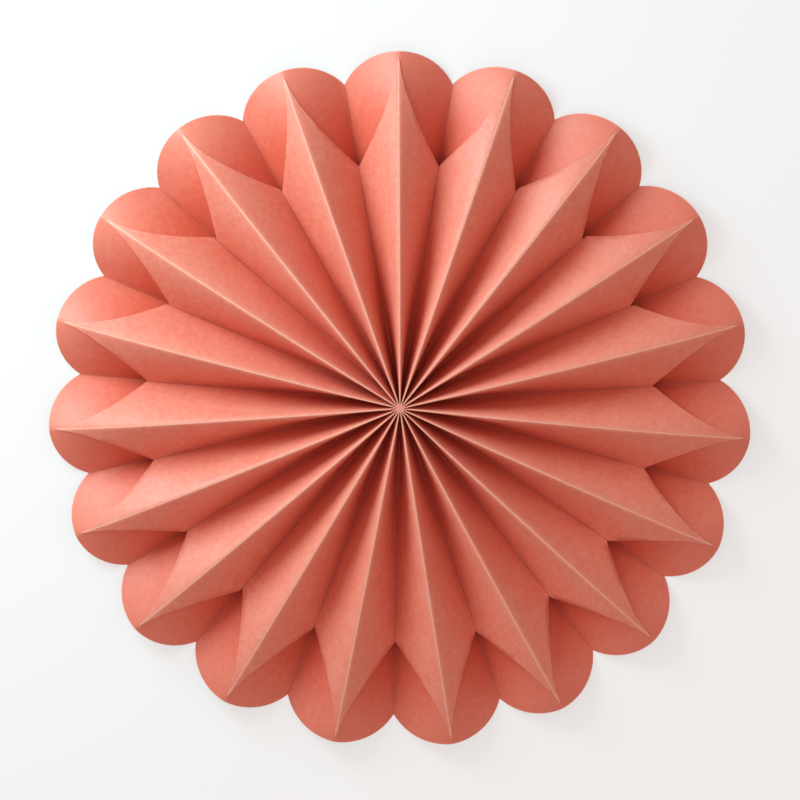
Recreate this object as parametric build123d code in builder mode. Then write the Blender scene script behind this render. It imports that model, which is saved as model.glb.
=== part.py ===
from build123d import *
from math import hypot, pi, sqrt, tan
import os

os.makedirs("parts", exist_ok=True)

# Driving sizes in millimetres. The fans lie on their backs, faces up, folds running out from the axis.
pleats = 19            # folds around each fan, the same in both so that they nest
paper = 0.3            # thickness of the card
rim_radius = 150.0     # axis to the crown of a round lobe
lobe_radius = 24.4     # round end of a back pleat
rim_height = 8.0       # rise of a back fold at the crown of its lobe
underlap = 18.0        # how far the back fan runs in under the front one
notch_radius = 105.5   # axis to the corner between two front points
notch_lift = 5.7       # clearance there between the valleys of the two fans
tip_inset = 3.0        # crown of a lobe to the end of the front point above it
tip_height = 6.5       # depth that a front pleat would have there
tip_width = 0.8        # width of the cut at the end of a point
point_bend = 0.72      # share of its length in which a point narrows before it runs out as a needle
crest_lift = 0.5       # rise of a front fold over the back fold that it sits on

# What follows from them
spread = tan(pi / pleats)                      # half width of a pleat for each mm from the axis
hub_radius = paper / spread                    # here the folds are packed, card against card
notch_reach = notch_radius / hypot(1, spread)  # distance of the corner, measured along the fold
notch_half = notch_reach * spread
tip_radius = rim_radius - tip_inset            # axis to the end of a front point
collar_reach = notch_reach - underlap
lobe_centre = rim_radius - lobe_radius


def back_height(reach):
    """A strip keeps its facet width, so its pleats get lower as they spread apart."""
    return sqrt(rim_height**2 + spread**2 * (rim_radius**2 - reach**2))


def front_crest(reach):
    """Each front fold rides on the back fold under it."""
    return back_height(reach) + crest_lift


def front_height(reach):
    """The same rule out to the corners, where the valleys clear the back's, then evenly down to the tips."""
    notch_height = front_crest(notch_reach) - notch_lift
    if reach <= notch_reach:
        return sqrt(notch_height**2 + spread**2 * (notch_reach**2 - reach**2))
    share = (reach - notch_reach) / (tip_radius - notch_reach)
    return notch_height + share * (tip_height - notch_height)


def fold_points(reach, crest, height):
    """Corners of one pleat's card, cut across its fold: three below, then three above."""
    half = reach * spread
    foot = crest - height
    drop = paper * hypot(1, height / (half + paper))  # thickness of sloping card, straight down
    below = [(-half, foot), (0, crest - drop), (half, foot)]
    above = [(half, foot + drop), (0, crest), (-half, foot + drop)]
    return below + above


def folded_card(reaches, crest_at, height_at):
    """One pleat of flat panels: between two sections the card twists, and it bends on a diagonal there."""
    rows = []
    for reach in reaches:
        corners = fold_points(reach, crest_at(reach), height_at(reach))
        rows.append([(reach, across, up) for across, up in corners])
    panels = [Face(Wire.make_polygon(rows[0])), Face(Wire.make_polygon(rows[-1]))]
    for inner, outer in zip(rows, rows[1:]):
        for side in range(6):
            a, b, c, d = inner[side - 1], inner[side], outer[side], outer[side - 1]
            if side in (0, 3):  # flat ends in the valley, where the next pleat joins on
                panels.append(Face(Wire.make_polygon((a, b, c, d))))
            elif abs(a[1]) > abs(b[1]):
                panels += [Face(Wire.make_polygon((a, b, c))), Face(Wire.make_polygon((a, c, d)))]
            else:
                panels += [Face(Wire.make_polygon((a, b, d))), Face(Wire.make_polygon((b, c, d)))]
    return Solid(Shell(panels))


# Sections along the fold: close together at the hub, where the pleats open fast, and even further out
inner_reaches = [hub_radius + (k / 8) ** 2 * (collar_reach - hub_radius) for k in range(8)]
outer_reaches = [collar_reach + k / 6 * (tip_radius - collar_reach) for k in range(7)]

# Scalloped fan behind: a collar of pleats, each one cut to a round lobe
with BuildPart() as back_pleat:
    add(folded_card(outer_reaches + [rim_radius], back_height, back_height))
    with BuildSketch(Plane.XY):
        with Locations((lobe_centre, 0)):
            Circle(lobe_radius)
            Rectangle(lobe_centre, 2 * lobe_radius, align=(Align.MAX, Align.CENTER))
    extrude(amount=2 * back_height(0), mode=Mode.INTERSECT)

with BuildPart() as back_fan:
    with PolarLocations(0, pleats, start_angle=90):
        add(back_pleat.part)

# Pointed fan in front: pleats from the packed hub out to needle tips
with BuildPart() as front_pleat:
    add(folded_card(inner_reaches + outer_reaches, front_crest, front_height))
    with BuildSketch(Plane.XY):
        with BuildLine():
            bend = (notch_reach + point_bend * (tip_radius - notch_reach), tip_width / 2)
            edge = Bezier((notch_reach, notch_half), bend, (tip_radius, tip_width / 2))
            mirror(edge, about=Plane.XZ)
            Line((tip_radius, tip_width / 2), (tip_radius, -tip_width / 2))
            Polyline((notch_reach, notch_half), (0, notch_half), (0, 0))
            Polyline((0, 0), (0, -notch_half), (notch_reach, -notch_half))
        make_face()
    extrude(amount=2 * back_height(0), mode=Mode.INTERSECT)

with BuildPart() as front_fan:
    with PolarLocations(0, pleats, start_angle=90):
        add(front_pleat.part)
    with BuildSketch(Plane.XY.offset(front_crest(0))):
        RegularPolygon(hub_radius, pleats, major_radius=False, rotation=90 + 180 / pleats)
    extrude(amount=-front_height(0))

back_fan.part.label = "scalloped_back_fan"
front_fan.part.label = "pointed_front_fan"
export_step(back_fan.part, "parts/scalloped_back_fan.step")
export_step(front_fan.part, "parts/pointed_front_fan.step")
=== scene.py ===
# %% [markdown]
# # A paper fan rosette
# Two strips of coral card, each folded like an accordion and closed to a ring. The one in front is cut to long
# points, the one behind it to round lobes. The solids of both already exist and are loaded first, because every
# piece made here has to lie where they lie.

# %% Load the solids
import bpy
import numpy as np
from math import radians
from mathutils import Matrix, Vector


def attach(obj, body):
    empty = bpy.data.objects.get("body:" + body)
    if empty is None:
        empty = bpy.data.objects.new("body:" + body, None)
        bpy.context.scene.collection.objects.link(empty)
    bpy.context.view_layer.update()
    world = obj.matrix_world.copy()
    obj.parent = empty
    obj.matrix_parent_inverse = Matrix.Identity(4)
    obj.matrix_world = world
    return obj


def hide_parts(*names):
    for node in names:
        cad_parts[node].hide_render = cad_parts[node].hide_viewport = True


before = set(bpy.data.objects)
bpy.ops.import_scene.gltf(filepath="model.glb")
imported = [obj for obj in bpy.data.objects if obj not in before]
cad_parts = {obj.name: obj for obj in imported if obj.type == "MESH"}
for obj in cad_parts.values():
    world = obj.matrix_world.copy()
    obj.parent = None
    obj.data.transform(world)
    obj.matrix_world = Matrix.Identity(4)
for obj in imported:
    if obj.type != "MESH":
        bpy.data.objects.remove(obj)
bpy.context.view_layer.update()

# %% [markdown]
# ## The rule of the folds
# A folded strip keeps the width of its facets, wherever it is cut across. Near the centre the folds are pressed
# together, so the facets stand up steeply; towards the rim they are spread, so they lie flatter. With the facet as
# the long side of a right triangle, the height of a fold follows from how far its valleys are apart. A fold could be
# drawn by hand for a single pleat, but as a rule it gives both fans, at every distance from the axis, and they nest.

# %% Heights of the folds, in metres
pleats = 19
card = 0.0003
rim_radius, lobe_radius, rim_height = 0.150, 0.0244, 0.0080
notch_radius, notch_lift = 0.1055, 0.0057
tip_inset, tip_height, tip_width = 0.0030, 0.0065, 0.0008
point_bend, underlap, crest_lift = 0.72, 0.018, 0.0005

spread = np.tan(np.pi / pleats)
hub_radius = card / spread
notch_reach = notch_radius / np.hypot(1, spread)
tip_radius = rim_radius - tip_inset
collar_reach = notch_reach - underlap
lobe_centre = rim_radius - lobe_radius


def back_height(reach):
    """Root of the rim height squared plus what the half width of a pleat lacks there, squared."""
    return np.sqrt(rim_height**2 + spread**2 * (rim_radius**2 - reach**2))


def front_crest(reach):
    """A front fold runs a little above the back fold that carries it."""
    return back_height(reach) + crest_lift


def front_height(reach):
    """The same root out to the corners between the points, then a straight line down to the tips."""
    notch_height = front_crest(notch_reach) - notch_lift
    inside = np.sqrt(np.maximum(notch_height**2 + spread**2 * (notch_reach**2 - reach**2), 0))
    share = (reach - notch_reach) / (tip_radius - notch_reach)
    return np.where(reach <= notch_reach, inside, notch_height + share * (tip_height - notch_height))


print("fold height at the hub and rim, mm:", np.round(1000 * back_height(np.array([0, rim_radius])), 1))

# %% [markdown]
# ## Across one pleat
# A pleat is measured across from -1 in one valley over 0 on the fold to 1 in the next valley. A grid with even steps
# would waste its points on the flat facets and leave the folds sharp as broken glass, so the steps are small beside
# folds and valleys. A folded card is also never sharper than it is thick: a narrow flat runs along the top of the
# fold, and the card turns into the facet in a small round. At the hub these tops touch each other and close the
# slots between the pleats, and around it the folds have sprung open a little and are rounder.

# %% Steps across a pleat and the rounded crease
steps = np.linspace(0, 1, 19) ** 1.4
half_across = steps**2 * (3 - 2 * steps)
across = np.concatenate([-half_across[:0:-1], half_across[:-1]])
across_all = np.tile(across, pleats)
pleat_turn = np.repeat(np.pi / 2 + 2 * np.pi / pleats * np.arange(pleats), len(across))
fold_top, crease_round, hub_round = 0.00022, 0.0003, 0.0032


def creased(place, half):
    """0 on the flat top of the fold and 1 in the valley: two hyperbolas, less the line that levels both ends."""
    top = fold_top / half
    place = np.maximum(place - top, 0) / (1 - top)
    soft = np.minimum(crease_round / half + (hub_round / half) ** 2, 0.5)
    level = 1 / np.hypot(1, soft)
    rise = np.hypot(place, soft) - np.hypot(1 - place, soft) - level * (place - 0.5)
    return 0.5 + 0.5 * rise / (np.hypot(1, soft) - soft - level / 2)


print("columns around a fan:", len(across_all), "drop half way down a facet at the rim:",
      round(float(creased(0.5, rim_radius * spread)), 3))

# %% [markdown]
# ## Folded by hand
# No one folds so many pleats at exactly the same angle. Three slow waves around the axis turn the folds by up to
# about two degrees, as in the photograph, and both fans follow the same waves, so that they still nest. Noise for each
# pleat would do it too, but it would tear the ring where a pleat meets the next, and waves stay closed.

# %% Turn of each fold
fold_waves = ((1, 0.0164, 0.40), (2, 0.0119, 2.98), (3, 0.0049, 0.91))  # periods, height and shift in radians


def hand_turn(angle):
    """Sum of three sine waves around the axis, each with its own number of periods, height and shift."""
    return sum(height * np.sin(periods * angle - shift) for periods, height, shift in fold_waves)


print("largest turn of a fold, degrees:", round(float(np.degrees(np.abs(hand_turn(np.linspace(0, 7, 999))).max())), 2))

# %% [markdown]
# ## Places in space
# So far a point of the card has a distance along its fold, a place across its pleat and a height. Turning one finished
# pleat around the axis again and again would give a ring of copies; turning the numbers instead gives all pleats at
# once, as whole arrays, and lets the waves above bend the ring as one.

# %% From fold measures to points
def in_space(reach, place, height):
    """Points from distance along the fold, place across it and height, turned to their pleat."""
    sideways = reach * spread * place
    angle = pleat_turn + np.arctan2(sideways, reach)
    radius = np.hypot(reach, sideways)
    angle = angle + hand_turn(angle)
    return np.stack([radius * np.cos(angle), radius * np.sin(angle), height + 0 * radius], axis=-1)


def card_top(reach, crest, height):
    """Upper face of the card: the crest less the creased share of the height, and its thickness straight down."""
    half = reach * spread
    drop = card * np.hypot(1, height / (half + card))
    return crest - (height - drop) * creased(np.abs(across_all), half), drop


first_fold = in_space(np.full(len(across_all), rim_radius), across_all, 0.0)[len(across) // 2]
print("first fold meets the rim at, mm:", np.round(1000 * first_fold, 1))

# %% [markdown]
# ## From a grid to a mesh
# A fan's surface is one grid: it starts at the inner edge, runs out over the upper face, turns round the cut edge and
# comes back below. Around the axis it closes on itself. A thickness could come from a modifier, but a steep fold at
# the hub would turn such an offset inside out. Where two faces meet at more than sixty degrees, as at the cut edge,
# the shading stays sharp.

# %% Mesh from rows of points
sharp_angle = radians(60)


def ring_mesh(name, rows, measures, poles=None):
    """Quads between neighbours on a grid closed both ways, or with a fan of triangles to a pole at each end."""
    n_rows, n_columns = rows.shape[:2]
    index = np.arange(n_rows * n_columns).reshape(n_rows, n_columns)
    beside = np.roll(index, -1, axis=1)
    last = n_rows if poles is None else n_rows - 1
    above = np.roll(index, -1, axis=0)[:last]
    above_beside = np.roll(beside, -1, axis=0)[:last]
    quads = np.stack([index[:last], above, above_beside, beside[:last]], axis=-1).reshape(-1, 4)
    points, faces = rows.reshape(-1, 3), quads.tolist()
    if poles is not None:
        first_pole = len(points)
        points = np.vstack([points, poles])
        faces += np.stack([0 * index[0] + first_pole, index[0], beside[0]], axis=-1).tolist()
        faces += np.stack([0 * index[0] + first_pole + 1, beside[-1], index[-1]], axis=-1).tolist()
    mesh = bpy.data.meshes.new(name)
    mesh.from_pydata(points.tolist(), [], faces)
    for measure, values in measures.items():
        flat = np.append(values.reshape(-1), [values.min()] * (len(points) - values.size))
        layer = mesh.attributes.new(measure, "FLOAT", "POINT")
        layer.data.foreach_set("value", flat.astype(np.float32))
    mesh.shade_smooth()
    mesh.set_sharp_from_angle(angle=sharp_angle)
    piece = bpy.data.objects.new(name, mesh)
    bpy.context.collection.objects.link(piece)
    size = points.max(axis=0) - points.min(axis=0)
    print(name, "faces:", len(faces), "size in mm:", np.round(1000 * size, 1))
    return piece


# %% [markdown]
# ## Distances that the card keeps
# Creases wear and catch the light, cut edges show the core of the card and catch the light, and valleys lie in
# shade; the material paints all of these into the colour. Such marks could be painted by hand. Here each point of the
# mesh keeps how far it is from its fold, its valley and the cut edge, and a material reads that later, so every mark
# follows its fold however the folds are turned.

# %% Millimetres to the fold, the valley and the cut
def fan_measures(reach, cut):
    """Millimetres to the fold, to the valley and to the cut edge, for the upper and the lower face."""
    half = reach * spread
    fold = half * np.abs(across_all)
    both = {"fold_mm": fold, "valley_mm": half - fold, "cut_mm": cut}
    return {key: 1000 * np.vstack([values, values[::-1]]) for key, values in both.items()}


print("fold to valley at the rim, mm:", round(1000 * rim_radius * spread, 1))

# %% [markdown]
# ## The scalloped fan behind
# Each of its pleats ends in a round lobe. The real strip is cut while it is folded up, all lobes in one snip, so here
# too the cut is a circle seen from the front. Along each line across the pleat the grid runs out to where that line
# meets the circle, which gives a clean edge without cutting any face.

# %% Back fan
def lobe_reach(place):
    """Distance along the fold at which a line across the pleat leaves the lobe's circle."""
    slant = 1 + (spread * place) ** 2
    return (lobe_centre + np.sqrt(lobe_centre**2 - slant * (lobe_centre**2 - lobe_radius**2))) / slant


back_rows = 34
share = np.linspace(0, 1, back_rows)[:, None]
back_reach = collar_reach + share * (lobe_reach(across_all) - collar_reach)
back_top, back_drop = card_top(back_reach, back_height(back_reach), back_height(back_reach))
upper = in_space(back_reach, across_all, back_top)
lower = in_space(back_reach, across_all, back_top - back_drop)
back_cut = lobe_reach(across_all) - back_reach
back_fan = ring_mesh("back_fan_paper", np.vstack([upper, lower[::-1]]), fan_measures(back_reach, back_cut))
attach(back_fan, "root")
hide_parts("scalloped_back_fan")

# %% [markdown]
# ## The cut of a point
# The pleats of the fan in front end in needle tips. The hollow sides of a point are a curve with one bend: it leaves
# the corner between two points at a slant and turns along the fold. Straight sides would be simpler, but they make a
# plain star. Cut by hand, the corners don't lie on a circle, so one more wave moves them in and out by a few
# millimetres.

# %% Outline of a point
corner_waves = (0.0026, 0.0010)
turn = np.linspace(0, 1, 200)
bend_reach = notch_reach + point_bend * (tip_radius - notch_reach)
edge_reach = (1 - turn)**2 * notch_reach + 2 * turn * (1 - turn) * bend_reach + turn**2 * tip_radius
edge_side = (1 - turn)**2 * notch_reach * spread + (1 - (1 - turn)**2) * tip_width / 2


def point_reach(place):
    """Distance along the fold at which a line across the pleat leaves the hollow side of its point."""
    edge_place = edge_side / (edge_reach * spread)
    return np.interp(np.abs(place), edge_place[::-1], edge_reach[::-1])


def snipped(reach):
    """Cut moved in or out by a wave around the axis, all of it at the corners and none at the tips."""
    wave = corner_waves[0] * np.cos(2 * pleat_turn) - corner_waves[1] * np.sin(pleat_turn)
    return reach + wave * (tip_radius - reach) / (tip_radius - notch_reach)


corners = 1000 * snipped(notch_reach)
print("corners lie from", round(corners.min(), 1), "to", round(corners.max(), 1), "mm along the folds")

# %% [markdown]
# ## The pointed fan in front
# This fan runs from the hub, where its folds are packed card on card, out to the cut. Its rows lie close together at
# the hub, because the pleats open fastest there. The real hub is a bundle of folds; here a small flat top closes it,
# a little inside the first row, which looks the same and leaves no hole.

# %% Grid of the front fan
front_rows, hub_crowding, hub_share = 50, 1.6, 0.94
share = np.linspace(0, 1, front_rows)[:, None] ** hub_crowding
front_reach = hub_radius + share * (snipped(point_reach(across_all)) - hub_radius)
front_top, front_drop = card_top(front_reach, front_crest(front_reach), front_height(front_reach))
upper = in_space(front_reach, across_all, front_top)
lower = in_space(front_reach, across_all, front_top - front_drop)
hub_rim = np.full((1, len(across_all)), hub_share * hub_radius)
hub_high, hub_low = front_crest(0.0), front_crest(0.0) - front_height(0.0)
hub_top, hub_foot = in_space(hub_rim, across_all, hub_high), in_space(hub_rim, across_all, hub_low)
front_grid = np.vstack([hub_top, upper, lower[::-1], hub_foot])
print("front fan, rows and columns:", front_grid.shape[:2])

# %% [markdown]
# ## How far the cut is from each point of the front fan
# On the lobes the cut lies straight out along the pleat, so a subtraction was enough. A point of this fan narrows, and
# its cut runs beside the fold, so the distance is the shortest one to any place on the curve. A search tree could find
# it, but the curve is short, and fifty of its places are enough.

# %% Front fan
side = front_reach * spread * np.abs(across_all)
front_cut = np.min([np.hypot(front_reach - snipped(r), side - s)
                    for r, s in zip(edge_reach[::4], edge_side[::4])], axis=0)
measures = fan_measures(front_reach, front_cut)
measures = {key: np.vstack([values[:1], values, values[-1:]]) for key, values in measures.items()}
poles = np.array([[0, 0, hub_high], [0, 0, hub_low]])
front_fan = ring_mesh("front_fan_paper", front_grid, measures, poles)
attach(front_fan, "root")
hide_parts("pointed_front_fan")

# %% [markdown]
# ## Shader sums as Python sums
# A material is a graph of nodes, and its arithmetic is easier to read as a formula. The small class below wraps an
# output of the graph: adding or multiplying two of them adds a Math node, and any other node is made by one method
# that takes its type, its settings and what goes into its sockets.

# %% A socket that can be added and multiplied
class Wire:
    """An output socket of a node tree."""

    def __init__(self, tree, socket=None):
        self.tree, self.socket = tree, socket

    def node(self, kind, settings=None, inputs=None, output=0):
        """A new node with these settings and inputs, as the output that is asked for."""
        made = self.tree.nodes.new(kind)
        for key, value in (settings or {}).items():
            setattr(made, key, value)
        for key, value in (inputs or {}).items():
            if isinstance(value, Wire):
                self.tree.links.new(value.socket, made.inputs[key])
            else:
                made.inputs[key].default_value = value
        return Wire(self.tree, made.outputs[output]) if made.outputs else made

    def maths(self, operation, first, second):
        """One sum, difference, product or quotient as a Math node."""
        return self.node("ShaderNodeMath", {"operation": operation}, {0: first, 1: second})

    def __add__(self, other): return self.maths("ADD", self, other)
    def __radd__(self, other): return self.maths("ADD", other, self)
    def __sub__(self, other): return self.maths("SUBTRACT", self, other)
    def __rsub__(self, other): return self.maths("SUBTRACT", other, self)
    def __mul__(self, other): return self.maths("MULTIPLY", self, other)
    def __rmul__(self, other): return self.maths("MULTIPLY", other, self)
    def __truediv__(self, other): return self.maths("DIVIDE", self, other)

    def near(self, full, none):
        """1 where the value is at most full, 0 from none on, with a soft step between."""
        ends = {"Value": self, "From Min": full, "From Max": none, "To Min": 1.0, "To Max": 0.0}
        return self.node("ShaderNodeMapRange", {"interpolation_type": "SMOOTHSTEP"}, ends)

    def mix(self, first, second):
        """Colour between first and second, by this value."""
        inputs = {"Factor": self, 6: first, 7: second}
        return self.node("ShaderNodeMix", {"data_type": "RGBA", "clamp_factor": True}, inputs, output=2)


# %% [markdown]
# ## Coral card
# The card is dyed through and has a dull sheen. Close up it is not one colour: the pulp lies in soft clouds, with
# fibres a millimetre or two long in it, and its surface has a fine tooth. Along a fold the fibres are worn paler, and
# the pale line there is also a painted highlight; a thin pale line along the cut edge shows its core and is a painted
# highlight too. The valleys carry painted shade, and each facet is painted darker towards its valley and paler towards
# its fold. An image could hold all this, but the noise is read from object coordinates, so the grain has one size on
# both fans, and the lines come from the distances that the mesh carries, so they follow every fold.

# %% Card material
def coral_card(name, tint, pale, deep, valley_shade_colour, wear_and_highlight, shade_under_points):
    """Mottled between deep and tint, with painted shade in the valleys, then pale on folds and cut edges: wear and
    painted highlight.
    """
    material = bpy.data.materials.new(name)
    material.use_nodes = True
    tree = material.node_tree
    tree.nodes.clear()
    start = Wire(tree)
    where = start.node("ShaderNodeTexCoord", output="Object")

    def noise(scale, detail, roughness):
        """Noise with this many grains to the metre."""
        inputs = {"Vector": where, "Scale": scale, "Detail": detail, "Roughness": roughness}
        return start.node("ShaderNodeTexNoise", None, inputs)

    def distance(measure):
        """One of the distances in millimetres that the mesh keeps."""
        return start.node("ShaderNodeAttribute", {"attribute_name": measure}, output="Fac")

    clouds, fibres, tooth = noise(90, 3, 0.5), noise(430, 5, 0.66), noise(2600, 2, 0.5)
    fold, valley, cut = distance("fold_mm"), distance("valley_mm"), distance("cut_mm")
    towards_fold = valley / (fold + valley + 0.001)
    # Pulp and fibres, with painted shade: darker towards the valley and, on the back fan, darker under the points and
    # paler towards the cut
    mottle = 0.45 * clouds + 1.4 * fibres - 0.6 + 0.45 * towards_fold + shade_under_points * (cut.near(0.0, 30.0) - 0.5)
    colour = mottle.mix(deep, tint)
    # Painted shade: a soft band and a thin dark line in the valley, fading where the pleats are narrow
    valley_shade = 0.35 * valley.near(0.0, 3.2) * (1 - cut.near(0.0, 14.0)) + 0.45 * valley.near(0.1, 0.8)
    valley_shade = valley_shade * (1 - 0.95 * (fold + valley).near(2.0, 9.0))
    colour = (valley_shade * (1 - towards_fold)).mix(colour, valley_shade_colour)
    # A pale line on the fold, broken by fibres, with a faint band beside it, and a line on the cut edge: partly wear
    # and pale core, partly painted highlight
    crease = fold.near(0.1, 0.45) * (0.45 + 0.6 * fibres) + fold.near(0.2, 1.7) * 0.15
    colour = (wear_and_highlight * crease * towards_fold + cut.near(0.1, 0.5) * 0.6).mix(colour, pale)
    height = fibres * 0.6 + tooth * 0.4
    bump = start.node("ShaderNodeBump", None, {"Strength": 0.45, "Distance": 0.0002, "Height": height})
    inputs = {"Base Color": colour, "Roughness": 0.46 + 0.12 * tooth, "Normal": bump, "Specular IOR Level": 0.75}
    surface = start.node("ShaderNodeBsdfPrincipled", None, inputs)
    start.node("ShaderNodeOutputMaterial", None, {"Surface": surface})
    print(name, "nodes:", len(tree.nodes))
    return material


# %% [markdown]
# ## Two sheets of card
# Both fans are folded from the same kind of card. The one in front has been handled, so its folds are worn, and its
# fold lines carry the full painted highlight. The one behind is coloured a little deeper, partly as painted shade under
# the points, and its folds carry only a faint pale line; its lobes, which stick out from under the points, are painted
# darker under the points and paler towards the rim. One material could serve both, but with a sheet each the points
# stand out from the lobes.

# %% Card for the front and the back fan
front_fan.data.materials.append(coral_card(
    "front_card", tint=(0.84, 0.345, 0.26, 1), pale=(0.98, 0.60, 0.47, 1), deep=(0.79, 0.17, 0.105, 1),
    valley_shade_colour=(0.44, 0.055, 0.028, 1), wear_and_highlight=1.0, shade_under_points=0.0))
# The back card's darker colours are partly painted shade under the points, and its lobes are painted darker under the
# points and paler at the rim
back_fan.data.materials.append(coral_card(
    "back_card", tint=(0.82, 0.255, 0.18, 1), pale=(0.94, 0.49, 0.38, 1), deep=(0.74, 0.137, 0.08, 1),
    valley_shade_colour=(0.52, 0.077, 0.036, 1), wear_and_highlight=0.25, shade_under_points=0.9))

# %% [markdown]
# ## The table
# The rosette lies on its back on a pale table. Enough light to burn a grey table white would burn the paper too, so
# the table glows, but only where a camera ray, a reflection or a look through glass meets it. Light that it gives back
# to the paper, and the shadow it catches, stay those of a plain top in a cool grey.

# %% Table
bpy.ops.mesh.primitive_plane_add(size=6)
table = bpy.context.object
table.name = "table"
surface = bpy.data.materials.new("table_top")
surface.use_nodes = True
surface.node_tree.nodes.clear()
start = Wire(surface.node_tree)
rays = [start.node("ShaderNodeLightPath", output=f"Is {kind} Ray") for kind in ("Camera", "Glossy", "Transmission")]
seen = rays[0] + rays[1] + rays[2]
top = start.node("ShaderNodeBsdfPrincipled", None, {
    "Base Color": (0.37, 0.45, 0.47, 1), "Roughness": 0.9, "Specular IOR Level": 0.1,
    "Emission Color": (1, 1, 1, 1), "Emission Strength": 0.6 * seen})
start.node("ShaderNodeOutputMaterial", None, {"Surface": top})
table.data.materials.append(surface)
print("table side in metres:", table.dimensions.x)

# %% [markdown]
# ## Light
# The photograph shows one soft light from the upper left: each pleat has a bright and a shaded side, and the pleats
# furthest from it are darkest, so the lamp is a low and near one, like a window beside the table. Its light is a little
# cool.

# %% Lamp
azimuth, elevation, distance = radians(138), radians(25), 0.6
window = bpy.data.lights.new("window", "AREA")
window.shape, window.size, window.energy, window.color = "DISK", 0.36, 2.95, (0.84, 1, 1)
lamp = bpy.data.objects.new("window", window)
bpy.context.collection.objects.link(lamp)
level = np.cos(elevation)
towards = Vector((np.cos(azimuth) * level, np.sin(azimuth) * level, np.sin(elevation)))
lamp.location = towards * distance
lamp.rotation_euler = towards.to_track_quat("Z", "Y").to_euler()
print("window at", np.round(lamp.location, 3).tolist(), "watts:", round(window.energy, 2))

# %% [markdown]
# ## Sky
# The rest of the room is an even sky. Second lamps could fill the shade too, but each would draw its own shadow in the
# folds. The sky has a warm tone, because the shade in the photograph is redder than white light would leave it.

# %% Sky
world = bpy.data.worlds.new("sky")
bpy.context.scene.world = world
world.use_nodes = True
sky = world.node_tree.nodes["Background"].inputs
sky["Color"].default_value = (1, 0.66, 0.58, 1)
sky["Strength"].default_value = 0.61
print("sky strength:", round(sky["Strength"].default_value, 2))

# %% [markdown]
# ## Camera
# It looks almost straight down, from far away, so that the rim stays round. It stands a little towards the top edge
# and is turned by half a degree, as in the photograph, where the hub appears slightly below the middle.

# %% Camera
tilt, roll, far, across_view = radians(8.5), radians(0.55), 3.0, 0.3404
view = bpy.data.cameras.new("camera")
view.lens = view.sensor_width * far / across_view
camera = bpy.data.objects.new("camera", view)
bpy.context.collection.objects.link(camera)
aim = Vector((0.0, 0.0012, 0.010))
camera.location = aim + far * Vector((-np.sin(tilt) * np.sin(roll), np.sin(tilt) * np.cos(roll), np.cos(tilt)))
camera.rotation_euler = (-tilt, 0, roll)
bpy.context.scene.camera = camera
bpy.context.scene.view_settings.view_transform = "Standard"
print("camera lens in mm:", round(view.lens), "at", np.round(camera.location, 3).tolist())

# %% [markdown]
# ## Finish
# The view layer is brought up to date. The paper must not be larger than the solids it stands for.

bpy.context.view_layer.update()
